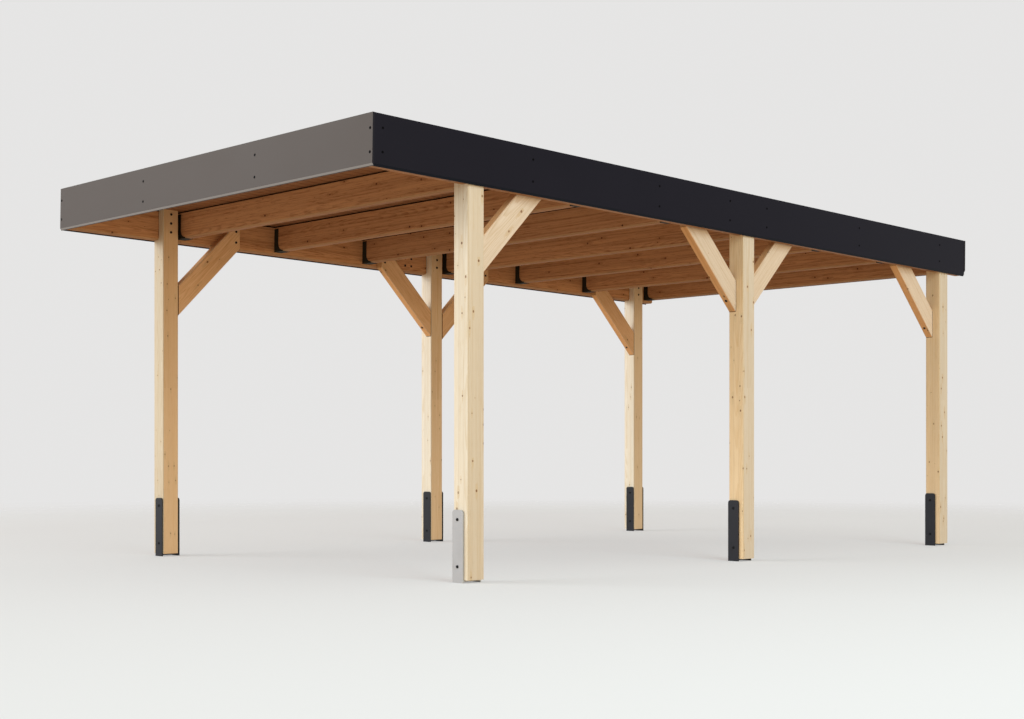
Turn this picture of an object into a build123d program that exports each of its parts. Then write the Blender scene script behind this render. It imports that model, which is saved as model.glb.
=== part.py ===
from build123d import *
import os
from math import cos, radians, sin

# A single carport: six glulam posts on steel H-anchors, two side purlins, diagonal braces, rafters
# hung between the purlins in joist hangers, a flat boarded roof that falls to the back, and a
# fascia all round. X is the width, +Y runs from the entry to the back, Z is up from the ground.

# Posts and how they stand
POST = 115.0                 # square section
POST_EDGE = 5.0              # bevel on the long edges
POST_PITCH = 2355.0          # front to middle, and middle to back
WIDTH_OVER_POSTS = 3100.0    # outer face to outer face
POST_CLEAR = 16.0            # foot of the post above the ground

# Steel H-anchors
ANCHOR_T = 8.0
ANCHOR_W = 80.0
ANCHOR_TOP = 386.0
ANCHOR_GAP = 2.0             # play between the post and each plate
ANCHOR_CORNER = 18.0
ANCHOR_INSET = 1.0           # plate edge in from the post's inner face
ANCHOR_HOLE_R = 5.5
ANCHOR_HOLES = (86.0, 335.0)

# Roof frame. Its heights are measured square to the fall, up from the underside of the purlins.
ROOF_FALL = 1.0              # degrees, down to the back
PURLIN_UNDERSIDE = 2100.0    # above the ground at the front posts
PURLIN_T = 70.0
PURLIN_H = 200.0
PURLIN_LET_IN = 57.5         # depth of the notch in the outer side of each post
TIMBER_EDGE = 9.0            # bevel on the long edges of purlins and rafters
SPLICE_LAP = 200.0
SPLICE_PLAY = 0.5

# Braces
BRACE_T = 57.0
BRACE_D = 140.0
BRACE_RAFTER_GAP = 51.0      # plumb end cut to the rafter beyond it, where it is tightest
BRACE_TOP_GAP = 1.0          # under the roof boards
BRACE_EDGE = 4.0

# Rafters and joist hangers. A rafter stands close behind the front posts and another close behind
# the back posts. The rest are spread evenly between, and one more is a space ahead, at the entry.
RAFTER_T = 60.0
RAFTER_H = 180.0
RAFTER_SPACES = 6            # from the front posts' rafter to the back posts'
RAFTER_BEHIND_FRONT = 25.0   # clear of the front posts
RAFTER_BEHIND_BACK = 79.0    # clear of the back posts
RAFTER_SETBACK = 54.0        # last rafter in from the ends of the purlins
HANGER_T = 2.0
HANGER_STRAP = 46.0
HANGER_SEAT = 98.0
HANGER_LIP = 8.0             # height of the cheek at the toe
HANGER_HEAD_GAP = 18.0       # under the roof boards

# Roof skin
DECK_T = 19.0
KERB_W = 40.0
KERB_H = 38.0
MEMBRANE_T = 2.0

# Fascia
FASCIA_T = 12.0
FASCIA_RISE = 1.0            # above the membrane on the kerb
FASCIA_HANG = 6.0            # below the purlins
FASCIA_BEVEL_H = 12.0
FASCIA_BEVEL_D = 9.0
FASCIA_LAP = 2.0             # the end panels stand past the faces of the side panels
BACK_FASCIA_LIFT = 32.0      # the back panel stops higher than the other three

os.makedirs("parts", exist_ok=True)

half_over_posts = WIDTH_OVER_POSTS / 2
post_x = half_over_posts - POST / 2
purlin_in = half_over_posts - PURLIN_LET_IN
purlin_out = purlin_in + PURLIN_T
fascia_out = purlin_out + FASCIA_T
brace_in = purlin_in - BRACE_T

# Along the roof, from the centre of the front posts
rafter_two = POST / 2 + RAFTER_BEHIND_FRONT
rafter_last = 2 * POST_PITCH + POST / 2 + RAFTER_BEHIND_BACK
rafter_pitch = (rafter_last - rafter_two) / RAFTER_SPACES
rafter_one = rafter_two - rafter_pitch
frame_front = rafter_one - HANGER_T
frame_back = rafter_last + RAFTER_T + RAFTER_SETBACK
run_front = frame_front - FASCIA_T
run_back = frame_back + FASCIA_T
run_middle = (run_front + run_back) / 2

# Up the roof's edge, from the underside of the purlins
rafter_base = PURLIN_H - RAFTER_H
kerb_base = PURLIN_H + DECK_T
kerb_top = kerb_base + KERB_H
fascia_low = -FASCIA_HANG
fascia_top = kerb_top + MEMBRANE_T + FASCIA_RISE

# The braces reach as far as the rafter ahead of the back posts lets them
brace_reach = rafter_pitch - RAFTER_T - RAFTER_BEHIND_BACK - POST - BRACE_RAFTER_GAP

# The footprint is centred on the origin, so the front posts stand here
tilt = radians(ROOF_FALL)
lowest_front = run_front * cos(tilt) + fascia_low * sin(tilt)
highest_back = run_back * cos(tilt) + fascia_top * sin(tilt)
front_post_y = -(lowest_front + highest_back) / 2
post_y = {
    "front": front_post_y,
    "middle": front_post_y + POST_PITCH,
    "back": front_post_y + 2 * POST_PITCH,
}
roof_frame = Location((0, front_post_y, PURLIN_UNDERSIDE), (-ROOF_FALL, 0, 0))


def roof_z(y, height=0.0):
    """Height above the ground of a plane that lies `height` over the purlins' underside."""
    return PURLIN_UNDERSIDE + (height - (y - front_post_y) * sin(tilt)) / cos(tilt)


def along_y(section, start, end):
    """A bar along Y from a closed list of (x, z) points."""
    face = make_face(Polyline(*[(x, start, z) for x, z in section], close=True))
    return extrude(face, amount=end - start, dir=(0, 1, 0))


def along_x(outline, start, end):
    """A bar along X from a closed list of (y, z) points."""
    face = make_face(Polyline(*[(start, y, z) for y, z in outline], close=True))
    return extrude(face, amount=end - start, dir=(1, 0, 0))


def bevelled_bar(side, other_side, low, high):
    """The section of a planed timber: a rectangle with its four corners bevelled."""
    edge = TIMBER_EDGE
    return [
        (side, low + edge), (side + edge, low),
        (other_side - edge, low), (other_side, low + edge),
        (other_side, high - edge), (other_side - edge, high),
        (side + edge, high), (side, high - edge),
    ]


def block(x0, x1, y0, y1, z0, z1):
    return Pos((x0 + x1) / 2, (y0 + y1) / 2, (z0 + z1) / 2) * Box(x1 - x0, y1 - y0, z1 - z0)


def save(name, *solids):
    shape = solids[0] if len(solids) == 1 else Compound(children=list(solids))
    export_step(shape, f"parts/{name}.step")


def mirrored(shape):
    return mirror(shape, about=Plane.YZ)


# Posts. The outer half of each head is cut away to the purlin's own section, so that the purlin
# sits on a shoulder and the inner half stands beside it up to the roof boards.
def make_post(y):
    top = roof_z(y - POST / 2, PURLIN_H) + POST
    post = Pos(post_x, y, (POST_CLEAR + top) / 2) * Box(POST, POST, top - POST_CLEAR)
    post = chamfer(post.edges().filter_by(Axis.Z), POST_EDGE)
    run = (y - front_post_y) / cos(tilt)
    notch = along_y(
        [
            (purlin_in, TIMBER_EDGE),
            (purlin_in + TIMBER_EDGE, 0),
            (half_over_posts + POST, 0),
            (half_over_posts + POST, PURLIN_H + 3 * POST),
            (purlin_in, PURLIN_H + 3 * POST),
        ],
        run - POST,
        run + POST,
    )
    above = block(
        half_over_posts - 2 * POST, half_over_posts + POST,
        run - POST, run + POST,
        PURLIN_H, PURLIN_H + 3 * POST,
    )
    return post - roof_frame * notch - roof_frame * above


# H-anchors. Two plates stand against the front and back of the post and a web carries its foot.
def make_anchor(y):
    x_in = half_over_posts - POST + ANCHOR_INSET
    x_mid = x_in + ANCHOR_W / 2
    face_y = POST / 2 + ANCHOR_GAP
    plate = RectangleRounded(ANCHOR_W, 2 * ANCHOR_TOP, ANCHOR_CORNER)
    plate = plate & Pos(0, ANCHOR_TOP / 2) * Rectangle(ANCHOR_W, ANCHOR_TOP)
    for height in ANCHOR_HOLES:
        plate -= Pos(0, height) * Circle(ANCHOR_HOLE_R)
    plate = extrude(Plane.XZ * plate, amount=ANCHOR_T)
    front = Pos(x_mid, y - face_y, 0) * plate
    back = Pos(x_mid, y + face_y + ANCHOR_T, 0) * plate
    web = block(
        x_in, x_in + ANCHOR_W,
        y - face_y, y + face_y,
        POST_CLEAR - ANCHOR_T, POST_CLEAR,
    )
    return front + web + back


for place, y in post_y.items():
    post = make_post(y)
    save(f"post_{place}_right", post)
    save(f"post_{place}_left", mirrored(post))
    anchor = make_anchor(y)
    save(f"anchor_{place}_right", anchor)
    save(f"anchor_{place}_left", mirrored(anchor))

# Purlins. Each side is two lengths that lap half and half in their thickness at mid-length, with
# the back length on the inside.
purlin_section = bevelled_bar(purlin_in, purlin_out, 0, PURLIN_H)
lap_start = run_middle - SPLICE_LAP / 2
lap_end = run_middle + SPLICE_LAP / 2
lap_x = purlin_in + PURLIN_T / 2
front_length = along_y(purlin_section, frame_front, lap_end)
front_length -= block(
    purlin_in - POST, lap_x, lap_start, lap_end + POST, -POST, PURLIN_H + POST
)
back_length = along_y(purlin_section, lap_start + SPLICE_PLAY, frame_back)
back_length -= block(
    lap_x, purlin_out + POST, lap_start - POST, lap_end + SPLICE_PLAY, -POST, PURLIN_H + POST
)
for half, timber in (("front", front_length), ("back", back_length)):
    timber = roof_frame * timber
    save(f"purlin_{half}_right", timber)
    save(f"purlin_{half}_left", mirrored(timber))


# Braces. A brace butts plumb against the post, leans at 45 degrees and lies against the inner face
# of the purlin. There it ends in a plumb cut, whose lower corner is level with the purlin's
# underside, and is trimmed under the roof boards.
def make_brace(y, way):
    face = y + way * POST / 2
    end = face + way * brace_reach
    base = roof_z(end) - brace_reach
    rise = BRACE_D / cos(radians(45))
    outline = [
        (face, base),
        (end, base + brace_reach),
        (end, base + brace_reach + rise),
        (face, base + rise),
    ]
    brace = along_x(outline, brace_in, purlin_in)
    slant = [
        edge for edge in brace.edges()
        if abs(abs((edge @ 1 - edge @ 0).normalized().Z) - sin(radians(45))) < 0.01
    ]
    brace = chamfer(slant, BRACE_EDGE)
    under_boards = PURLIN_H - BRACE_TOP_GAP
    return brace - roof_frame * block(
        0, half_over_posts + POST, frame_front, frame_back, under_boards, under_boards + PURLIN_H
    )


for place, way in (("front", 1), ("middle", -1), ("middle", 1), ("back", -1)):
    brace = make_brace(post_y[place], way)
    name = f"brace_{place}_" + ("rearward" if way > 0 else "forward")
    save(f"{name}_right", brace)
    save(f"{name}_left", mirrored(brace))

# Rafters and their hangers. The hanger is a folded steel shoe: a plate against the purlin, a strap
# up each side that sweeps out into the seat, and the seat under the rafter.
rafter_end = purlin_in - HANGER_T


def make_rafter(front):
    section = bevelled_bar(front, front + RAFTER_T, rafter_base, PURLIN_H)
    return along_x(section, -rafter_end, rafter_end)


def make_hanger(front):
    low = rafter_base - HANGER_T
    sweep = HANGER_SEAT - HANGER_STRAP
    strap_x = purlin_in - HANGER_STRAP
    toe_x = purlin_in - HANGER_SEAT
    lip = rafter_base + HANGER_LIP
    head = PURLIN_H - HANGER_HEAD_GAP
    cheek = Plane.XZ * make_face(
        Polyline(
            (toe_x, lip), (toe_x, low), (purlin_in, low),
            (purlin_in, head), (strap_x, head), (strap_x, lip + sweep),
        )
        + RadiusArc((strap_x, lip + sweep), (toe_x, lip), sweep)
    )
    near = Pos(0, front, 0) * extrude(cheek, amount=HANGER_T)
    far = Pos(0, front + RAFTER_T + HANGER_T, 0) * extrude(cheek, amount=HANGER_T)
    seat = block(toe_x, purlin_in, front, front + RAFTER_T, low, rafter_base)
    back = block(rafter_end, purlin_in, front, front + RAFTER_T, low, head)
    return near + seat + back + far


hangers = []
for index in range(RAFTER_SPACES + 2):
    front = rafter_one + index * rafter_pitch
    save(f"rafter_{index + 1}", roof_frame * make_rafter(front))
    hangers.append(roof_frame * make_hanger(front))
save("hangers_right", *hangers)
save("hangers_left", *[mirrored(hanger) for hanger in hangers])

# Roof boards, a kerb round their edge, and the membrane that lines the tray
deck = block(-purlin_out, purlin_out, frame_front, frame_back, PURLIN_H, kerb_base)
save("roof_deck", roof_frame * deck)
kerb_in = purlin_out - KERB_W
side_kerb = roof_frame * block(kerb_in, purlin_out, frame_front, frame_back, kerb_base, kerb_top)
save("kerb_right", side_kerb)
save("kerb_left", mirrored(side_kerb))
for name, start in (("kerb_front", frame_front), ("kerb_back", frame_back - KERB_W)):
    kerb = block(-kerb_in, kerb_in, start, start + KERB_W, kerb_base, kerb_top)
    save(name, roof_frame * kerb)
membrane = block(
    -purlin_out, purlin_out, frame_front, frame_back, kerb_top, kerb_top + MEMBRANE_T
)
membrane += block(
    -kerb_in, kerb_in, frame_front + KERB_W, frame_back - KERB_W, kerb_base, kerb_top
)
tray = kerb_in - MEMBRANE_T
membrane -= block(
    -tray, tray,
    frame_front + KERB_W + MEMBRANE_T, frame_back - KERB_W - MEMBRANE_T,
    kerb_base + MEMBRANE_T, kerb_top + 2 * MEMBRANE_T,
)
save("roof_membrane", roof_frame * membrane)

# Fascia. The front and back panels run the full width, over the ends of the side panels and a
# little past their faces. The lower outer edge is bevelled back to a drip.
side_section = [
    (purlin_out, fascia_top),
    (purlin_out, fascia_low),
    (fascia_out - FASCIA_BEVEL_D, fascia_low),
    (fascia_out, fascia_low + FASCIA_BEVEL_H),
    (fascia_out, fascia_top),
]
side_fascia = roof_frame * along_y(side_section, frame_front, frame_back)
save("fascia_right", side_fascia)
save("fascia_left", mirrored(side_fascia))


def make_end_fascia(inner, way, low):
    outer = inner + way * FASCIA_T
    section = [
        (inner, fascia_top),
        (inner, low),
        (outer - way * FASCIA_BEVEL_D, low),
        (outer, low + FASCIA_BEVEL_H),
        (outer, fascia_top),
    ]
    end = fascia_out + FASCIA_LAP
    return roof_frame * along_x(section, -end, end)


save("fascia_front", make_end_fascia(frame_front, -1, fascia_low))
save("fascia_back", make_end_fascia(frame_back, 1, fascia_low + BACK_FASCIA_LIFT))
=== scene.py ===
from functools import partial
from math import cos, pi, radians, sin, tan

import bmesh
import bpy
from mathutils import Matrix, Vector


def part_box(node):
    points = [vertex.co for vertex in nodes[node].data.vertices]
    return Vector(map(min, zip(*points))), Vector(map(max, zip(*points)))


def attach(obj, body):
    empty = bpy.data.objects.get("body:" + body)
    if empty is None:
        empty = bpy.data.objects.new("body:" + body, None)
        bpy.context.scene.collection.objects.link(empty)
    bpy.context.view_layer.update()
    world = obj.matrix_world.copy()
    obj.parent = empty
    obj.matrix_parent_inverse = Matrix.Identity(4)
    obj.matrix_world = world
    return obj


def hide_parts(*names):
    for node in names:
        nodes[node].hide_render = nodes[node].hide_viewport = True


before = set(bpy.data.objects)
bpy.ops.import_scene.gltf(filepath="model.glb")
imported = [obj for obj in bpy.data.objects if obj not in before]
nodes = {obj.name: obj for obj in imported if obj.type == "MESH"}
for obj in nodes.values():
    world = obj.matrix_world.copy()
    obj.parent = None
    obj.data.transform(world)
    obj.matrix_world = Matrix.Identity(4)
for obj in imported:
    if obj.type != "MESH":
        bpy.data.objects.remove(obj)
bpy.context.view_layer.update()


# Posts. Six square posts of spruce glulam, three laminations each, planed on four sides with a
# small bevel on the long edges. The outer half of the head is cut away for the purlin.
class FinishBench:
    """The bench where one finish is mixed: it makes and links the nodes of a shader tree."""

    def __init__(self, node_tree):
        self.nodes = node_tree.nodes
        self.link = node_tree.links.new

    def feed(self, node, values):
        """Links or sets inputs of a node, given by their name or number."""
        for key, value in values.items():
            socket = node.inputs[key]
            if isinstance(value, bpy.types.NodeSocket):
                self.link(value, socket)
            elif socket.type == "RGBA":
                socket.default_value = (*value, 1.0)
            else:
                socket.default_value = value
        return node

    def maths(self, operation, *values):
        node = self.nodes.new("ShaderNodeMath")
        node.operation = operation
        return self.feed(node, dict(enumerate(values))).outputs[0]

    def vector(self, operation, *values):
        node = self.nodes.new("ShaderNodeVectorMath")
        node.operation = operation
        outputs = self.feed(node, dict(enumerate(values))).outputs
        return outputs["Value" if operation in ("LENGTH", "DOT_PRODUCT") else "Vector"]

    def joined(self, x, y, z):
        node = self.nodes.new("ShaderNodeCombineXYZ")
        return self.feed(node, {0: x, 1: y, 2: z}).outputs[0]

    def split(self, vector):
        node = self.nodes.new("ShaderNodeSeparateXYZ")
        return self.feed(node, {0: vector}).outputs

    def turned(self, vector, turn):
        node = self.nodes.new("ShaderNodeMapping")
        node.vector_type = "VECTOR"
        return self.feed(node, {"Vector": vector, "Rotation": turn}).outputs[0]

    def noise(self, place, scale=1.0, detail=2.0, roughness=0.5):
        node = self.nodes.new("ShaderNodeTexNoise")
        values = {"Vector": place, "Scale": scale, "Detail": detail, "Roughness": roughness}
        return self.feed(node, values).outputs["Fac"]

    def spread(self, value, low, high, to_low=0.0, to_high=1.0, way="SMOOTHSTEP"):
        """Stretches the run from low to high over a new one, and holds it at both ends."""
        node = self.nodes.new("ShaderNodeMapRange")
        node.interpolation_type = way
        return self.feed(node, {0: value, 1: low, 2: high, 3: to_low, 4: to_high}).outputs[0]

    def mixed(self, amount, base, over, way="MIX"):
        node = self.nodes.new("ShaderNodeMix")
        node.data_type = "RGBA"
        node.blend_type = way
        return self.feed(node, {0: amount, 6: base, 7: over}).outputs[2]

    def grouped(self, effect, values):
        """The outputs of a shared effect that is given this finish's own values."""
        node = self.nodes.new("ShaderNodeGroup")
        node.node_tree = effect
        return self.feed(node, values).outputs

    def finish(self, colour, roughness, height, relief, gloss=0.5):
        """Feeds the material's shader. `relief` is the strength and distance of its bump."""
        bump = self.nodes.new("ShaderNodeBump")
        self.feed(bump, {"Height": height, "Strength": relief[0], "Distance": relief[1]})
        self.feed(self.nodes["Principled BSDF"], {
            "Base Color": colour,
            "Roughness": roughness,
            "Specular IOR Level": gloss,
            "Normal": bump.outputs[0],
        })


def new_material(name):
    """A material, the bench for its nodes and the outputs of its Texture Coordinate."""
    material = bpy.data.materials.new(name)
    material.use_nodes = True
    bench = FinishBench(material.node_tree)
    return material, bench, bench.nodes.new("ShaderNodeTexCoord").outputs


def new_effect(name, vectors, numbers, colours):
    """A node group with the inputs named, which puts out a colour, a roughness and a height."""
    group = bpy.data.node_groups.new(name, "ShaderNodeTree")
    for kind, inputs in (("Vector", vectors), ("Float", numbers), ("Color", colours)):
        for socket in inputs:
            group.interface.new_socket(socket, in_out="INPUT", socket_type=f"NodeSocket{kind}")
    for socket, kind in (("Color", "Color"), ("Roughness", "Float"), ("Height", "Float")):
        group.interface.new_socket(socket, in_out="OUTPUT", socket_type=f"NodeSocket{kind}")
    bench = FinishBench(group)
    given = bench.nodes.new("NodeGroupInput").outputs
    return group, bench, given, bench.nodes.new("NodeGroupOutput")


def glulam_effect():
    """Planed glulam. Grain Place runs along the grain in X and its laminations are stacked in Z.

    Board picks the log, and the last number input is 1 where a dark line of painted shade is drawn
    where two pieces meet.
    """
    group, bench, given, result = new_effect(
        "planed_glulam",
        ("Grain Place", "Grain Normal"),
        ("Lamination", "Board", "Streaks", "Flecks", "Knot Size", "Knots a Metre", "Joint Shade"),
        ("Pale", "Late Wood", "Knot", "Bevel Shade", "Flat Light Tint", "Side Light Tint", "Joint Shade Tone"),
    )
    maths = bench.maths
    plus = partial(bench.maths, "ADD")
    minus = partial(bench.maths, "SUBTRACT")
    times = partial(bench.maths, "MULTIPLY")
    length = partial(bench.vector, "LENGTH")
    joined = bench.joined
    noise = bench.noise
    spread = bench.spread
    mixed = bench.mixed

    along, side, stack = bench.split(given["Grain Place"])[:3]
    facing = bench.split(given["Grain Normal"])
    face_x = maths("ABSOLUTE", facing[0])
    face_y = maths("ABSOLUTE", facing[1])
    face_z = maths("ABSOLUTE", facing[2])

    # Each lamination is a board of its own, cut from another place in the log
    layer = maths("FLOOR", plus(maths("DIVIDE", stack, given["Lamination"]), 0.5))
    in_layer = minus(stack, times(layer, given["Lamination"]))
    pick = bench.nodes.new("ShaderNodeTexWhiteNoise")
    bench.feed(pick, {"Vector": joined(layer, given["Board"], 3.7)})
    chance = bench.split(pick.outputs["Color"])

    # Knots, seen square on as small round branches with the grain drawn out beyond them
    flat_side = maths("GREATER_THAN", face_z, face_y)
    across = plus(times(side, flat_side), times(plus(stack, 0.71), minus(1.0, flat_side)))
    per_metre = given["Knots a Metre"]
    shift = times(given["Board"], 13.7)
    spot = joined(plus(times(along, per_metre), shift),
                  plus(times(across, per_metre), times(shift, 0.37)), 0.0)
    branches = bench.nodes.new("ShaderNodeTexVoronoi")
    branches.voronoi_dimensions = "2D"
    bench.feed(branches, {"Vector": spot, "Scale": 1.0})
    branch = bench.split(branches.outputs["Color"])
    away = bench.split(bench.vector("SUBTRACT", spot, branches.outputs["Position"]))
    ragged = noise(joined(times(along, 130.0), times(across, 130.0), shift))
    from_branch = plus(length(joined(times(away[0], 0.8), away[1], 0.0)),
                       times(minus(ragged, 0.5), 0.020))
    size = spread(branch[0], 0.42, 0.90, 0.0, given["Knot Size"])
    knot = spread(minus(from_branch, size), 0.008, -0.008)
    trail = length(joined(times(away[0], 0.20), away[1], 0.0))
    near_knot = spread(minus(trail, times(size, 1.7)), 0.03, -0.03)
    near_knot = times(near_knot, spread(size, 0.006, 0.034))
    knot_strength = plus(0.62, times(branch[1], 0.38))

    # Growth rings round a pith that wanders along the board, pushed aside by the knots
    ring_width = 0.0042
    wander = noise(joined(times(along, 0.55), shift, layer), detail=1.0)
    pith_side = plus(times(minus(chance[1], 0.5), 0.14), times(minus(wander, 0.5), 0.10))
    pith_depth = times(minus(chance[2], 0.5), 0.16)
    from_pith = length(joined(0.0, minus(side, pith_side), minus(in_layer, pith_depth)))
    ripple = noise(joined(times(along, 2.6), times(side, 24.0), times(stack, 24.0)), detail=3.0)
    radius = plus(from_pith, times(ripple, 0.008))
    radius = plus(radius, times(near_knot, 0.007))
    ring = maths("FRACT", maths("DIVIDE", radius, ring_width))
    late = times(spread(ring, 0.30, 0.88), spread(ring, 1.0, 0.92))

    # Fibres, streaks down the board, short flecks and broad pale and dark bands
    def stretched(lengthwise, crosswise, detail, roughness):
        drawn = joined(times(along, lengthwise), times(side, crosswise),
                       plus(times(stack, crosswise), shift))
        return noise(drawn, 1.0, detail, roughness)

    fibre = stretched(9.0, 520.0, 2.0, 0.5)
    streak = stretched(0.9, 74.0, 3.0, 0.66)
    fleck = stretched(13.0, 185.0, 3.0, 0.60)
    broad = stretched(0.7, 9.0, 2.0, 0.5)

    grain = plus(times(late, 0.34), times(spread(streak, 0.40, 0.70), given["Streaks"]))
    grain = plus(grain, times(spread(fleck, 0.50, 0.72), given["Flecks"]))
    colour = mixed(grain, given["Pale"], given["Late Wood"])
    bright = plus(0.90, times(broad, 0.14))
    bright = plus(bright, times(minus(chance[0], 0.5), 0.07))
    bright = plus(bright, times(minus(fibre, 0.5), 0.12))
    # Painted light and shade: the flat faces and the sides with glue lines each take a tint of
    # their own
    face_light_tint = mixed(flat_side, given["Side Light Tint"], given["Flat Light Tint"])
    colour = mixed(1.0, colour, face_light_tint, "MULTIPLY")
    # Painted shade on the bevels: a tone of their own, mostly darker, damps the light they catch
    bevel = times(spread(face_y, 0.3, 0.6), spread(face_z, 0.3, 0.6))
    colour = mixed(times(bevel, 0.65), colour, given["Bevel Shade"])
    end_grain = spread(face_x, 0.55, 0.75)
    bright = times(bright, minus(1.0, times(end_grain, 0.22)))
    colour = mixed(1.0, colour, joined(bright, bright, bright), "MULTIPLY")
    colour = mixed(times(near_knot, 0.45), colour, given["Late Wood"])
    side_grain = minus(1.0, end_grain)
    colour = mixed(times(times(knot, knot_strength), side_grain), colour, given["Knot"])
    seam = minus(0.5, maths("ABSOLUTE", maths("DIVIDE", in_layer, given["Lamination"])))
    seam = spread(times(seam, given["Lamination"]), 0.0010, 0.0002)
    colour = mixed(times(seam, 0.30), colour, given["Knot"])

    height = plus(times(fibre, 0.5), times(late, 0.3))
    height = minus(height, times(seam, 0.6))
    # The dark line of painted shade along a meeting plane is mixed in last
    bench.feed(result, {
        "Color": mixed(given["Joint Shade"], colour, given["Joint Shade Tone"]),
        "Roughness": plus(0.54, times(fibre, 0.16)),
        "Height": plus(height, times(knot, 0.4)),
    })
    return group


planed_glulam = glulam_effect()


def timber(name, centre, turn, lamination, board, tones, streaks=0.36, flecks=0.20, knots=0.048,
           knot_rate=7.4, gloss=0.20, flat_light_tint=(1.0, 1.0, 1.0), side_light_tint=(1.0, 1.0, 1.0),
           shade_line=None):
    """Glulam for one piece: `turn` brings its length to X and its laminations to Z.

    `board` picks the log. The two tints are painted light and shade: they make its flat faces
    and the sides that show the glue lines lighter, darker or warmer, as the light on them falls.

    The last argument is (direction, distance, half width, lowest z): a plane where the piece meets
    its neighbour, along whose eased arris a dark line of painted shade is drawn.
    """
    material, bench, place = new_material(name)
    # A dark line of painted shade where the piece meets its neighbour
    in_shade_line = 0.0
    if shade_line:
        direction, distance, half_width, lowest = shade_line
        apart = bench.vector("DOT_PRODUCT", place["Object"], direction)
        near = bench.maths("COMPARE", apart, distance, half_width)
        above = bench.maths("GREATER_THAN", bench.split(place["Object"])[2], lowest)
        in_shade_line = bench.maths("MULTIPLY", near, above)
    moved = bench.vector("SUBTRACT", place["Object"], centre)
    wood = bench.grouped(planed_glulam, {
        "Grain Place": bench.turned(moved, turn),
        "Grain Normal": bench.turned(place["Normal"], turn),
        "Lamination": lamination,
        "Board": board,
        "Streaks": streaks,
        "Flecks": flecks,
        "Knot Size": knots,
        "Knots a Metre": knot_rate,
        "Flat Light Tint": flat_light_tint,
        "Side Light Tint": side_light_tint,
        "Joint Shade": in_shade_line,
        "Joint Shade Tone": [part * 0.55 for part in tones["Knot"]],
        **tones,
    })
    bench.finish(wood["Color"], wood["Roughness"], wood["Height"], (0.35, 0.0006), gloss)
    return material


def dress(node, material):
    """Puts one material on a piece of the frame."""
    mesh = nodes[node].data
    mesh.materials.clear()
    mesh.materials.append(material)


def centre_of(node):
    low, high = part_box(node)
    return (low + high) / 2


# The bevels' darker tone is painted shade
spruce = {
    "Pale": (0.780, 0.682, 0.545),
    "Late Wood": (0.620, 0.462, 0.268),
    "Knot": (0.150, 0.060, 0.024),
    "Bevel Shade": (0.520, 0.400, 0.270),
}
places = ("front", "middle", "back")
sides = ("right", "left")
outward = {"right": 1, "left": -1}
post_size = 0.115
post_lamination = post_size / 3
post_pitch = 2.355
upright = (0.0, radians(90), 0.0)
fall = radians(1.0)
purlin_inner = 1.4925
purlin_underside = 2.100

# A dark line of painted shade where the notch meets the purlin's inner face, from just over the
# purlin's bevel up
head_shade_from = 0.013
head_shade_half = 0.0028

# The number of each log, and the tints of painted light and shade on its flat faces (to the sides
# of the carport) and on the sides with glue lines (to the front and back)
post_logs_and_light = {
    "front_right": (11, (0.97, 0.98, 1.02), (1.02, 1.05, 1.10)),
    "middle_right": (13, (0.96, 0.99, 1.07), (1.02, 0.88, 0.70)),
    "back_right": (15, (1.00, 1.05, 1.14), (0.96, 0.82, 0.66)),
    "front_left": (12, (1.16, 0.94, 0.73), (0.84, 0.83, 0.81)),
    "middle_left": (14, (1.14, 0.98, 0.82), (1.12, 1.18, 1.28)),
    "back_left": (16, (1.20, 1.10, 0.98), (1.12, 1.18, 1.28)),
}
post_knots = {"right": 0.066, "left": 0.044}
for spot, (board, flat_light_tint, side_light_tint) in post_logs_and_light.items():
    name = f"post_{spot}"
    place, side = spot.split("_")
    lowest = purlin_underside + head_shade_from - places.index(place) * post_pitch * tan(fall)
    head = ((1, 0, 0), outward[side] * purlin_inner, head_shade_half, lowest)
    dress(name, timber(name, centre_of(name), upright, post_lamination, board, spruce,
                       streaks=0.28, flecks=0.24, knots=post_knots[side], knot_rate=11.5,
                       flat_light_tint=flat_light_tint, side_light_tint=side_light_tint, shade_line=head))


# Anchors. Each post stands in a welded H of steel plate: two plates clasp the foot of the post and
# a web carries it clear of the ground. Five are coated anthracite, and the front right one is
# painted a light zinc grey as a painted reflection.
def coated_steel_effect():
    """Powder coat: a little dust and fine orange peel."""
    group, bench, given, result = new_effect(
        "powder_coat", ("Place",), ("Smoothest", "Roughest"), ("Dark", "Light"),
    )
    dust = bench.noise(given["Place"], 14.0, 5.0)
    bench.feed(result, {
        "Color": bench.mixed(dust, given["Dark"], given["Light"]),
        "Roughness": bench.spread(dust, 0.0, 1.0, given["Smoothest"], given["Roughest"], "LINEAR"),
        "Height": bench.noise(given["Place"], 900.0),
    })
    return group


powder_coat = coated_steel_effect()


def coated_steel(name, colour, roughness, speckle, gloss=0.5):
    """Coated steel, whose dust takes its colour `speckle` up and down."""
    material, bench, place = new_material(name)
    coat = bench.grouped(powder_coat, {
        "Place": place["Object"],
        "Dark": [part * (1 - speckle) for part in colour],
        "Light": [part * (1 + speckle) for part in colour],
        "Smoothest": roughness - 0.06,
        "Roughest": roughness + 0.06,
    })
    bench.finish(coat["Color"], coat["Roughness"], coat["Height"], (0.15, 0.0002), gloss)
    return material


anthracite_coat = coated_steel(
    "anthracite_coat", (0.0122, 0.0120, 0.0166), roughness=0.42, speckle=0.35, gloss=0.17,
)
for place in places:
    for side in sides:
        dress(f"anchor_{place}_{side}", anthracite_coat)
# The front right anchor's light grey is a painted reflection
zinc_painted_reflection = coated_steel("zinc_painted_reflection", (0.390, 0.388, 0.412), roughness=0.40, speckle=0.10)
dress("anchor_front_right", zinc_painted_reflection)


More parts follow.
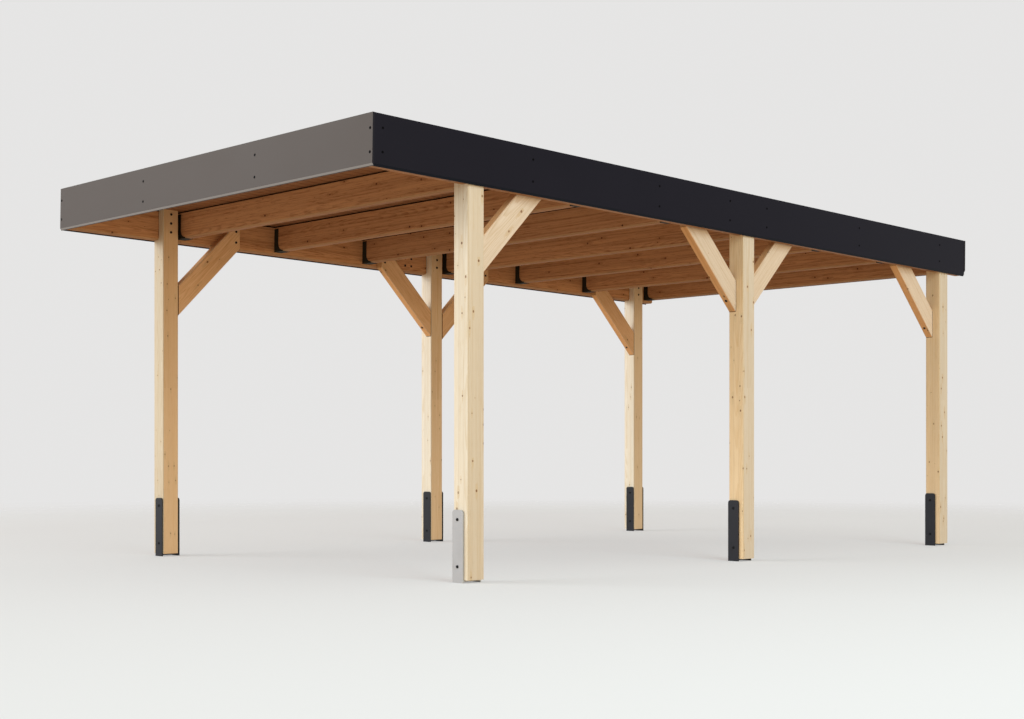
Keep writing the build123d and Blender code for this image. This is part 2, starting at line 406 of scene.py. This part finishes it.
# Purlins. Two planed glulam lengths a side, lapped half and half at mid-length, that fall one
# degree to the back. The roof timbers are painted a deeper, darker amber than the posts, as
# painted shade under the roof.
roof_spruce_shaded = {
    "Pale": (0.572, 0.295, 0.148),
    "Late Wood": (0.290, 0.124, 0.055),
    "Knot": (0.045, 0.013, 0.005),
    "Bevel Shade": (0.338, 0.212, 0.118),
}
purlin_lamination = 0.040
purlin_log = 31
down_the_roof = (fall, 0.0, radians(-90))
off_the_roof = Vector((0.0, sin(fall), cos(fall)))
front_post = centre_of("post_front_right")


def on_roof(x, run, height):
    """A point of the roof: metres behind the front posts, and over the purlins' underside."""
    return Vector((
        x,
        front_post.y + run * cos(fall) + height * sin(fall),
        purlin_underside - run * sin(fall) + height * cos(fall),
    ))


# A dark line of painted shade along the top of the roof timbers, where the boards lie on them
boards_shadow_line = 0.1955
boards_shadow_half = 0.0055
board_shadow = (off_the_roof, on_roof(0, 0, boards_shadow_line).dot(off_the_roof), boards_shadow_half, 0.0)
roof_grain = {"streaks": 0.50, "flecks": 0.55, "knots": 0.046, "gloss": 0.06}
for number, (half, side) in enumerate((h, s) for h in ("front", "back") for s in sides):
    name = f"purlin_{half}_{side}"
    dress(name, timber(name, centre_of(name), down_the_roof, purlin_lamination,
                       purlin_log + number, roof_spruce_shaded, shade_line=board_shadow, **roof_grain))


# Rafters. Eight glulam bars across the width, square to the fall, with bevelled long edges. Three
# of them are painted lighter or darker on their sides, as painted light and shade.
rafter_count = 8
rafter_lamination = 0.036
rafter_log = 40
across_the_roof = (fall, 0.0, 0.0)
rafter_side_light = {1: (1.06, 1.11, 1.12), 2: (1.05, 1.08, 1.10), 4: (0.92, 0.93, 0.95)}
for number in range(1, rafter_count + 1):
    name = f"rafter_{number}"
    rafter_light = rafter_side_light.get(number, (1.0, 1.0, 1.0))
    dress(name, timber(name, centre_of(name), across_the_roof, rafter_lamination,
                       rafter_log + number, roof_spruce_shaded, side_light_tint=rafter_light, shade_line=board_shadow,
                       **roof_grain))


# Braces. Solid planed spruce at 45 degrees, eight in all, butted plumb against the posts.
# Their upper and lower faces are painted orange as painted shade, their sides are painted paler on
# the right and warmer on the left as painted light and shade, and the left ones have more flecks.
brace_tones = {
    "Pale": (0.608, 0.480, 0.365),
    "Late Wood": (0.445, 0.298, 0.165),
    "Knot": (0.140, 0.052, 0.021),
    "Bevel Shade": (0.620, 0.475, 0.350),
}
brace_log = 70
brace_shade_half = 0.0032
# The sides' tints are painted light and shade: paler on the right, warmer on the left
brace_side_light = {"right": (0.99, 1.03, 1.12), "left": (1.13, 0.91, 0.71)}
brace_flecks = {"right": 0.22, "left": 0.50}

# Deeper than any of the timbers, so that solid wood shows no glue line
one_board = 0.5

# The braces of one side: the post that each stands at, and the way it leans from there
side_braces = (
    ("front", "rearward"), ("middle", "forward"), ("middle", "rearward"), ("back", "forward"),
)
for number, (place, way) in enumerate(side_braces):
    lean = radians(-45) if way == "rearward" else radians(45)
    for side in sides:
        name = f"brace_{place}_{way}_{side}"
        low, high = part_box(name)
        # A dark line of painted shade where the plumb end meets the post
        foot = ((0, 1, 0), low.y if way == "rearward" else high.y, brace_shade_half, 0.0)
        # The orange tint on the upper and lower faces is painted shade
        dress(name, timber(name, centre_of(name), (lean, 0.0, radians(-90)), one_board,
                           brace_log + number + outward[side] * 0.3, brace_tones, streaks=0.36,
                           flecks=brace_flecks[side], gloss=0.06, flat_light_tint=(1.20, 0.86, 0.56),
                           side_light_tint=brace_side_light[side], shade_line=foot))


# Joist hangers. Folded steel shoes with swept cheeks, coated black, and nailed to the rafters with
# six flat-headed ring nails in each cheek.
black_coat = coated_steel(
    "black_coat", (0.0260, 0.0225, 0.0150), roughness=0.66, speckle=0.3, gloss=0.06,
)
for side in sides:
    dress(f"hangers_{side}", black_coat)


def new_piece(name, bm, material):
    """Makes a piece of the carport from a finished bmesh."""
    mesh = bpy.data.meshes.new(name)
    bm.to_mesh(mesh)
    bm.free()
    mesh.materials.append(material)
    thing = bpy.data.objects.new(name, mesh)
    bpy.context.scene.collection.objects.link(thing)
    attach(thing, "root")
    return thing


def head_shape(radius, height, crown, recess, segments):
    """A nail or screw head on the XY plane: rim, sloping crown and an optional drive recess."""
    bm = bmesh.new()
    bmesh.ops.create_cone(
        bm, cap_ends=True, segments=segments,
        radius1=radius, radius2=radius, depth=height,
    )
    bmesh.ops.translate(bm, verts=bm.verts, vec=(0, 0, height / 2))
    top = [face for face in bm.faces if face.normal.z > 0.9]
    bmesh.ops.bevel(
        bm, geom=top[0].edges[:], offset=height * crown, offset_type="OFFSET", segments=2,
        profile=0.5, affect="EDGES", material=-1,
    )
    if recess:
        top = [face for face in bm.faces if face.normal.z > 0.99]
        bmesh.ops.inset_region(bm, faces=top, thickness=radius * 0.32, depth=0)
        bmesh.ops.inset_region(bm, faces=top, thickness=radius * 0.04, depth=-height * recess)
    bmesh.ops.recalc_face_normals(bm, faces=bm.faces)
    shape = bpy.data.meshes.new("head_shape")
    bm.to_mesh(shape)
    bm.free()
    return shape


def heads(name, shape, spots, material):
    """One piece of many heads, each at a spot of (place, outward direction)."""
    bm = bmesh.new()
    for at, out in spots:
        before = len(bm.verts)
        bm.from_mesh(shape)
        bm.verts.ensure_lookup_table()
        turn = Vector(out).to_track_quat("Z", "Y").to_matrix().to_4x4()
        bmesh.ops.transform(bm, matrix=Matrix.Translation(at) @ turn, verts=bm.verts[before:])
    return new_piece(name, bm, material)


rafter_pitch = 0.794
rafter_thick = 0.060
first_rafter = -0.7115
hanger_sheet = 0.002
forward = Vector((0.0, -cos(fall), sin(fall)))
backward = -forward
nail_shape = head_shape(radius=0.0042, height=0.0011, crown=0.6, recess=0, segments=10)
nail_rows = (
    (0.046, (0.012, 0.034)), (0.086, (0.023,)), (0.122, (0.012, 0.034)), (0.162, (0.023,)),
)
cheek_nails = [(inward, height) for height, columns in nail_rows for inward in columns]
for side in sides:
    spots = []
    for number in range(rafter_count):
        front = first_rafter + number * rafter_pitch
        cheeks = [(front + rafter_thick + hanger_sheet, backward)]
        if number > 0:
            cheeks.append((front - hanger_sheet, forward))
        for run, out in cheeks:
            for inward, height in cheek_nails:
                x = outward[side] * (purlin_inner - inward)
                spots.append((on_roof(x, run, height), out))
    heads(f"hanger_nails_{side}", nail_shape, spots, black_coat)


# Construction screws. Black pan heads with a drive recess: three through each post head, two at
# the top of each brace and one under its foot, six in each purlin lap, two in each anchor plate.
screw_black = coated_steel(
    "screw_black", (0.0065, 0.0065, 0.008), roughness=0.48, speckle=0.2, gloss=0.12,
)
screw_shape = head_shape(radius=0.0086, height=0.0034, crown=0.55, recess=0.45, segments=16)
post_half = post_size / 2
post_inner = 1.435
post_runs = {place: number * post_pitch / cos(fall) for number, place in enumerate(places)}
post_screw_heights = (0.052, 0.111, 0.171)
spots = []
for place in places:
    for side in sides:
        for height in post_screw_heights:
            at = on_roof(outward[side] * post_inner, post_runs[place], height)
            spots.append((at, (-outward[side], 0, 0)))
heads("post_screws", screw_shape, spots, screw_black)

brace_inner = 1.4355
brace_middle = (brace_inner + purlin_inner) / 2
brace_reach = 0.489
brace_top_reach = 0.458
brace_top_heights = (0.041, 0.116)
foot_screw_in = 0.066
spots = []
for place, leaning in side_braces:
    way = 1 if leaning == "rearward" else -1
    for side in sides:
        out = outward[side]
        run = post_runs[place] + way * (post_half + brace_top_reach)
        for height in brace_top_heights:
            spots.append((on_roof(out * brace_inner, run, height), (-out, 0, 0)))
        face = front_post.y + post_runs[place] * cos(fall) + way * post_half
        end = face + way * brace_reach
        foot = purlin_underside - (end - front_post.y) * tan(fall) - brace_reach
        at = Vector((out * brace_middle, face + way * foot_screw_in, foot + foot_screw_in))
        spots.append((at, (0, way, -1)))
heads("brace_screws", screw_shape, spots, screw_black)

lap_screw_runs = (2.0845, 2.1445)
lap_screw_heights = (0.047, 0.102, 0.157)
spots = []
for side in sides:
    for run in lap_screw_runs:
        for height in lap_screw_heights:
            at = on_roof(outward[side] * purlin_inner, run, height)
            spots.append((at, (-outward[side], 0, 0)))
heads("purlin_lap_screws", screw_shape, spots, screw_black)

plate_play = 0.002
plate_thick = 0.008
plate_face = post_half + plate_play + plate_thick
plate_middle = 1.476
anchor_screw = head_shape(radius=0.0085, height=0.0045, crown=0.5, recess=0.4, segments=16)
anchor_screw_heights = (0.086, 0.335)
spots = []
for place in places:
    post_y = centre_of(f"anchor_{place}_right").y
    for side in sides:
        for height in anchor_screw_heights:
            for way in (-1, 1):
                at = Vector((outward[side] * plate_middle, post_y + way * plate_face, height))
                spots.append((at, (0, way, 0)))
heads("anchor_screws", anchor_screw, spots, screw_black)


# Roof boards. Profiled spruce boards laid lengthwise over the rafters, tongued together, with a
# small V along each joint on the side that shows from below.
def drawn_out(bm, corners, reach):
    """A closed bar: the face between the corners, drawn out by `reach`."""
    face = bm.faces.new([bm.verts.new(corner) for corner in corners])
    made = bmesh.ops.extrude_face_region(bm, geom=[face])
    moved = [v for v in made["geom"] if isinstance(v, bmesh.types.BMVert)]
    bmesh.ops.translate(bm, verts=moved, vec=reach)


def lengthwise_bar(bm, outline, start, end):
    """A bar down the roof from a list of (x, height) corners."""
    corners = [on_roof(x, start, height) for x, height in outline]
    drawn_out(bm, corners, on_roof(0, end, 0) - on_roof(0, start, 0))


deck_half = 1.5625
deck_low = 0.200
deck_high = 0.219
roof_start = -0.7135
roof_end = 4.9605
board_count = 36
board_width = 2 * deck_half / board_count
board_log = 60
joint_v = 0.0045
joint_gap = 0.0022
bm = bmesh.new()
for number in range(board_count):
    left = -deck_half + number * board_width + joint_gap / 2
    right = left + board_width - joint_gap
    lengthwise_bar(bm, [
        (left, deck_low + joint_v), (left + joint_v, deck_low),
        (right - joint_v, deck_low), (right, deck_low + joint_v),
        (right, deck_high), (left, deck_high),
    ], roof_start, roof_end)
bmesh.ops.recalc_face_normals(bm, faces=bm.faces)
# The boards are painted a darker brown than the other roof timbers, as painted shade under the roof
board_shade_tones = {
    "Pale": (0.290, 0.127, 0.054),
    "Late Wood": (0.166, 0.063, 0.023),
    "Knot": (0.048, 0.014, 0.005),
    "Bevel Shade": (0.172, 0.072, 0.030),
}
boards_turn = Matrix(((0, 1, 0), (0, 0, 1), (1, 0, 0))) @ Matrix.Rotation(fall, 3, "X")
boards_centre = centre_of("roof_deck") + Vector((board_width / 2, 0, 0))
board_wood = timber("roof_board_wood", boards_centre, boards_turn.to_euler(), board_width,
                    board_log, board_shade_tones, streaks=0.4, flecks=0.3)
boards = new_piece("roof_boards", bm, board_wood)
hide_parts("roof_deck")


# Kerb. Four planed battens nailed round the edge of the roof boards, which the membrane is
# drawn over.
kerb_log = 80
for number, place in enumerate(("front", "back", "left", "right")):
    name = f"kerb_{place}"
    turn = across_the_roof if place in ("front", "back") else down_the_roof
    dress(name, timber(name, centre_of(name), turn, one_board, kerb_log + number, roof_spruce_shaded))


# Membrane. Black rubber sheet glued down in the tray and up over the kerb, in two widths that
# overlap on the middle line, with a folded patch in each corner.
rubber, bench, place = new_material("rubber_sheet")
dust = bench.noise(place["Object"], 2.3, 6.0, 0.62)
pull = bench.noise(place["Object"], 5.0, 1.0)
talc = bench.noise(place["Object"], 420.0)
dusty = bench.spread(dust, 0.35, 0.75, way="LINEAR")
bench.finish(
    bench.mixed(dusty, (0.020, 0.020, 0.021), (0.062, 0.060, 0.057)),
    bench.spread(dust, 0.0, 1.0, 0.58, 0.86, "LINEAR"),
    bench.maths("MULTIPLY_ADD", talc, 0.05, pull),
    relief=(0.5, 0.008),
)
dress("roof_membrane", rubber)

kerb_width = 0.040
kerb_high = 0.257
sheet_thick = 0.002
tray_half = deck_half - kerb_width - sheet_thick
tray_floor = deck_high + sheet_thick
tray_start = roof_start + kerb_width + sheet_thick
tray_end = roof_end - kerb_width - sheet_thick
lap_half = 0.050
lap_thick = 0.0015
bm = bmesh.new()
lengthwise_bar(bm, [
    (-lap_half, tray_floor), (lap_half, tray_floor),
    (lap_half - lap_thick, tray_floor + lap_thick), (lap_thick - lap_half, tray_floor + lap_thick),
], tray_start, tray_end)
flap_long = 0.085
flap_thick = 0.004
for across in (-1, 1):
    for run, way in ((tray_start, 1), (tray_end, -1)):
        corner = across * tray_half
        drawn_out(bm, [
            on_roof(corner, run, tray_floor),
            on_roof(corner - across * flap_long, run, tray_floor),
            on_roof(corner, run, kerb_high + sheet_thick),
        ], backward * (way * flap_thick))
bmesh.ops.recalc_face_normals(bm, faces=bm.faces)
new_piece("membrane_laps", bm, rubber)


# Fascia. Smooth coated panels without joints, screwed to the purlins and the ends of the frame. The
# end panels are painted a lighter, warmer grey than the side panels, as painted light, and the
# bevelled lower edges carry a painted reflection, pale on the end panels.
def panel_effect():
    """Coated panel: faint cloudiness, a painted reflection on the lower bevel, and its own tone
    where it is cut off.

    The painted reflection starts at its given height, square to the roof. Cut Ends is 1 where the
    ends show.
    """
    group, bench, given, result = new_effect(
        "coated_panel", ("Place", "Normal"), ("Drip Reflection From", "Cut Ends"),
        ("Tone", "Cloud", "Drip Reflection", "End"),
    )
    haze = bench.noise(given["Place"], 3.0, 4.0)
    facing = bench.split(given["Normal"])
    leaning_under = bench.spread(facing[2], -0.15, -0.45, way="LINEAR")
    off_roof = bench.vector("DOT_PRODUCT", given["Place"], off_the_roof)
    above = bench.maths("GREATER_THAN", off_roof, given["Drip Reflection From"])
    drip_reflection_mask = bench.maths("MULTIPLY", leaning_under, above)
    sideways = bench.maths("GREATER_THAN", bench.maths("ABSOLUTE", facing[0]), 0.7)
    cut_end = bench.maths("MULTIPLY", sideways, given["Cut Ends"])
    colour = bench.mixed(haze, given["Tone"], given["Cloud"])
    # Painted reflection on the lower bevel
    colour = bench.mixed(drip_reflection_mask, colour, given["Drip Reflection"])
    bench.feed(result, {
        "Color": bench.mixed(cut_end, colour, given["End"]),
        "Roughness": bench.spread(haze, 0.0, 1.0, 0.41, 0.47, "LINEAR"),
        "Height": bench.noise(given["Place"], 700.0),
    })
    return group


coated_panel = panel_effect()


def panel(name, tone, cloud, drip_reflection, drip_reflection_from, gloss, end=None):
    """One panel's finish. The painted reflection on the lower bevel starts at the given height over
    the purlins' underside.
    """
    material, bench, place = new_material(name)
    skin = bench.grouped(coated_panel, {
        "Place": place["Object"],
        "Normal": place["Normal"],
        "Tone": tone,
        "Cloud": cloud,
        "Drip Reflection": drip_reflection,
        "Drip Reflection From": on_roof(0, 0, drip_reflection_from).dot(off_the_roof),
        "End": end or tone,
        "Cut Ends": 1.0 if end else 0.0,
    })
    bench.finish(skin["Color"], skin["Roughness"], skin["Height"], (0.12, 0.0003), gloss)
    return material


# The painted reflection on the milled lower bevel starts over a narrow flat edge, and the back
# panel ends higher than the others
panel_low = -0.006
flat_edge = 0.0025
# The end panels' light, warm tone is painted light and their pale lower bevel a painted reflection;
# their cut ends keep the panels' own dark tone
for side, lift in (("front", 0.0), ("back", 0.032)):
    dress(f"fascia_{side}", panel(
        f"{side}_panel", tone=(0.0565, 0.0398, 0.0332), cloud=(0.0630, 0.0454, 0.0379),
        drip_reflection=(0.251, 0.243, 0.252), drip_reflection_from=panel_low + lift + flat_edge, gloss=0.14,
        end=(0.0040, 0.0037, 0.0080),
    ))
# The side panels' dark blue lower bevel is a painted reflection
side_panel = panel(
    "side_panel", tone=(0.0038, 0.0035, 0.0081), cloud=(0.0052, 0.0047, 0.0102),
    drip_reflection=(0.0030, 0.0042, 0.0085), drip_reflection_from=panel_low, gloss=0.09,
)
for side in sides:
    dress(f"fascia_{side}", side_panel)

dull_black = coated_steel(
    "dull_black", (0.0022, 0.0022, 0.0028), roughness=0.62, speckle=0.2, gloss=0.02,
)
panel_thick = 0.012
side_screw = head_shape(radius=0.0066, height=0.0013, crown=0.35, recess=0.5, segments=14)
side_screw_runs = (-0.6585, 0.397, 1.454, 2.129, 2.508, 3.560, 4.610)
side_screw_heights = (0.0695, 0.1895)
for side in sides:
    spots = [
        (on_roof(outward[side] * (deck_half + panel_thick), run, height), (outward[side], 0, 0))
        for run in side_screw_runs
        for height in side_screw_heights
    ]
    heads(f"fascia_{side}_screws", side_screw, spots, dull_black)
end_screw = head_shape(radius=0.0075, height=0.0008, crown=0.35, recess=0.5, segments=14)
end_screw_columns = (-1.561, -0.573, 0.570, 1.557)
for side, run, out, rows in (
    ("front", roof_start - panel_thick, forward, (0.063, 0.183)),
    ("back", roof_end + panel_thick, backward, (0.083, 0.183)),
):
    spots = [(on_roof(x, run, height), out) for x in end_screw_columns for height in rows]
    heads(f"fascia_{side}_screws", end_screw, spots, dull_black)


# Studio. A plain pale floor that fades into a plain pale backdrop, under three soft boxes: a wide
# one ahead on the left, one above on the right and a low warm one beside the right posts.
floor_half = 40.0
bm = bmesh.new()
bmesh.ops.create_grid(bm, x_segments=1, y_segments=1, size=floor_half)
mesh = bpy.data.meshes.new("floor")
bm.to_mesh(mesh)
bm.free()
floor = bpy.data.objects.new("floor", mesh)
bpy.context.scene.collection.objects.link(floor)


def seen_directly(bench):
    """1 for rays that show the backdrop: from the camera, or by way of metal or glass."""
    path = bench.nodes.new("ShaderNodeLightPath").outputs
    either = bench.maths("MAXIMUM", path["Is Camera Ray"], path["Is Glossy Ray"])
    return bench.maths("MAXIMUM", either, path["Is Transmission Ray"])


floor_seen = (0.465, 0.465, 0.470)
floor_bounce = (0.74, 0.60, 0.44)
floor_glow = (0.33, 0.33, 0.33)

# The floor fades out with the distance from the carport, sooner where it is seen directly
fade_start = 6.0
fade_end_seen = 13.0
fade_end = 24.0
floor_paint, bench, place = new_material("floor")
seen = seen_directly(bench)
shader = bench.nodes["Principled BSDF"]
bench.feed(shader, {
    "Base Color": bench.mixed(seen, floor_bounce, floor_seen),
    "Roughness": 0.9,
    "Specular IOR Level": 0.1,
    "Emission Color": floor_glow,
    "Emission Strength": seen,
})
reach = bench.maths("MULTIPLY_ADD", seen, fade_end_seen - fade_end, fade_end)
faded = bench.spread(bench.vector("LENGTH", place["Object"]), fade_start, reach)
backfacing = bench.nodes.new("ShaderNodeNewGeometry").outputs["Backfacing"]
from_below = bench.maths("MULTIPLY", backfacing, seen)
clear = bench.nodes.new("ShaderNodeBsdfTransparent")
blend = bench.feed(bench.nodes.new("ShaderNodeMixShader"), {
    0: bench.maths("MAXIMUM", faded, from_below),
    1: shader.outputs[0],
    2: clear.outputs[0],
})
bench.feed(bench.nodes["Material Output"], {"Surface": blend.outputs[0]})
floor.data.materials.append(floor_paint)

backdrop_light = (0.60, 0.55, 0.49)
backdrop_seen = (0.79, 0.785, 0.78)
world = bpy.data.worlds.new("studio")
bpy.context.scene.world = world
world.use_nodes = True
bench = FinishBench(world.node_tree)
backdrop = bench.mixed(seen_directly(bench), backdrop_light, backdrop_seen)
bench.feed(bench.nodes["Background"], {"Color": backdrop, "Strength": 1.0})


def softbox(name, at, towards, size, radiance, colour):
    data = bpy.data.lights.new(name, "AREA")
    data.shape = "RECTANGLE"
    data.size, data.size_y = size
    data.energy = radiance * pi * size[0] * size[1]
    data.color = colour
    lamp = bpy.data.objects.new(name, data)
    bpy.context.scene.collection.objects.link(lamp)
    lamp.visible_camera = False
    lamp.location = at
    lamp.rotation_euler = (Vector(towards) - Vector(at)).to_track_quat("-Z", "Y").to_euler()


softbox("key", at=(-17.3, -25.0, 9.2), towards=(0.0, -2.85, 2.0), size=(24.0, 14.0),
        radiance=6.6, colour=(0.955, 1.01, 1.02))
softbox("fill", at=(13.0, -3.5, 6.0), towards=(0.0, 0.0, 1.0), size=(8.0, 8.0),
        radiance=5.0, colour=(0.78, 1.00, 1.04))
softbox("card", at=(18.0, 1.0, 1.8), towards=(0.0, 0.0, 1.2), size=(14.0, 3.4),
        radiance=5.6, colour=(1.0, 0.735, 0.35))


# Camera. It stands where the photograph was taken, low and level off the front right corner, and
# its frame is shifted up a little to take in the roof.
frame_width = 1024
focal_pixels = 1552.2
sensor = 36.0
camera_data = bpy.data.cameras.new("camera")
camera = bpy.data.objects.new("camera", camera_data)
bpy.context.scene.collection.objects.link(camera)
camera.location = (7.5497, -7.6945, 0.6921)
camera.rotation_euler = (radians(90), 0.0, 0.79901)
camera_data.sensor_width = sensor
camera_data.lens = sensor * focal_pixels / frame_width
camera_data.shift_x = -0.0009
camera_data.shift_y = 0.0902
bpy.context.scene.camera = camera
bpy.context.scene.view_settings.view_transform = "Standard"
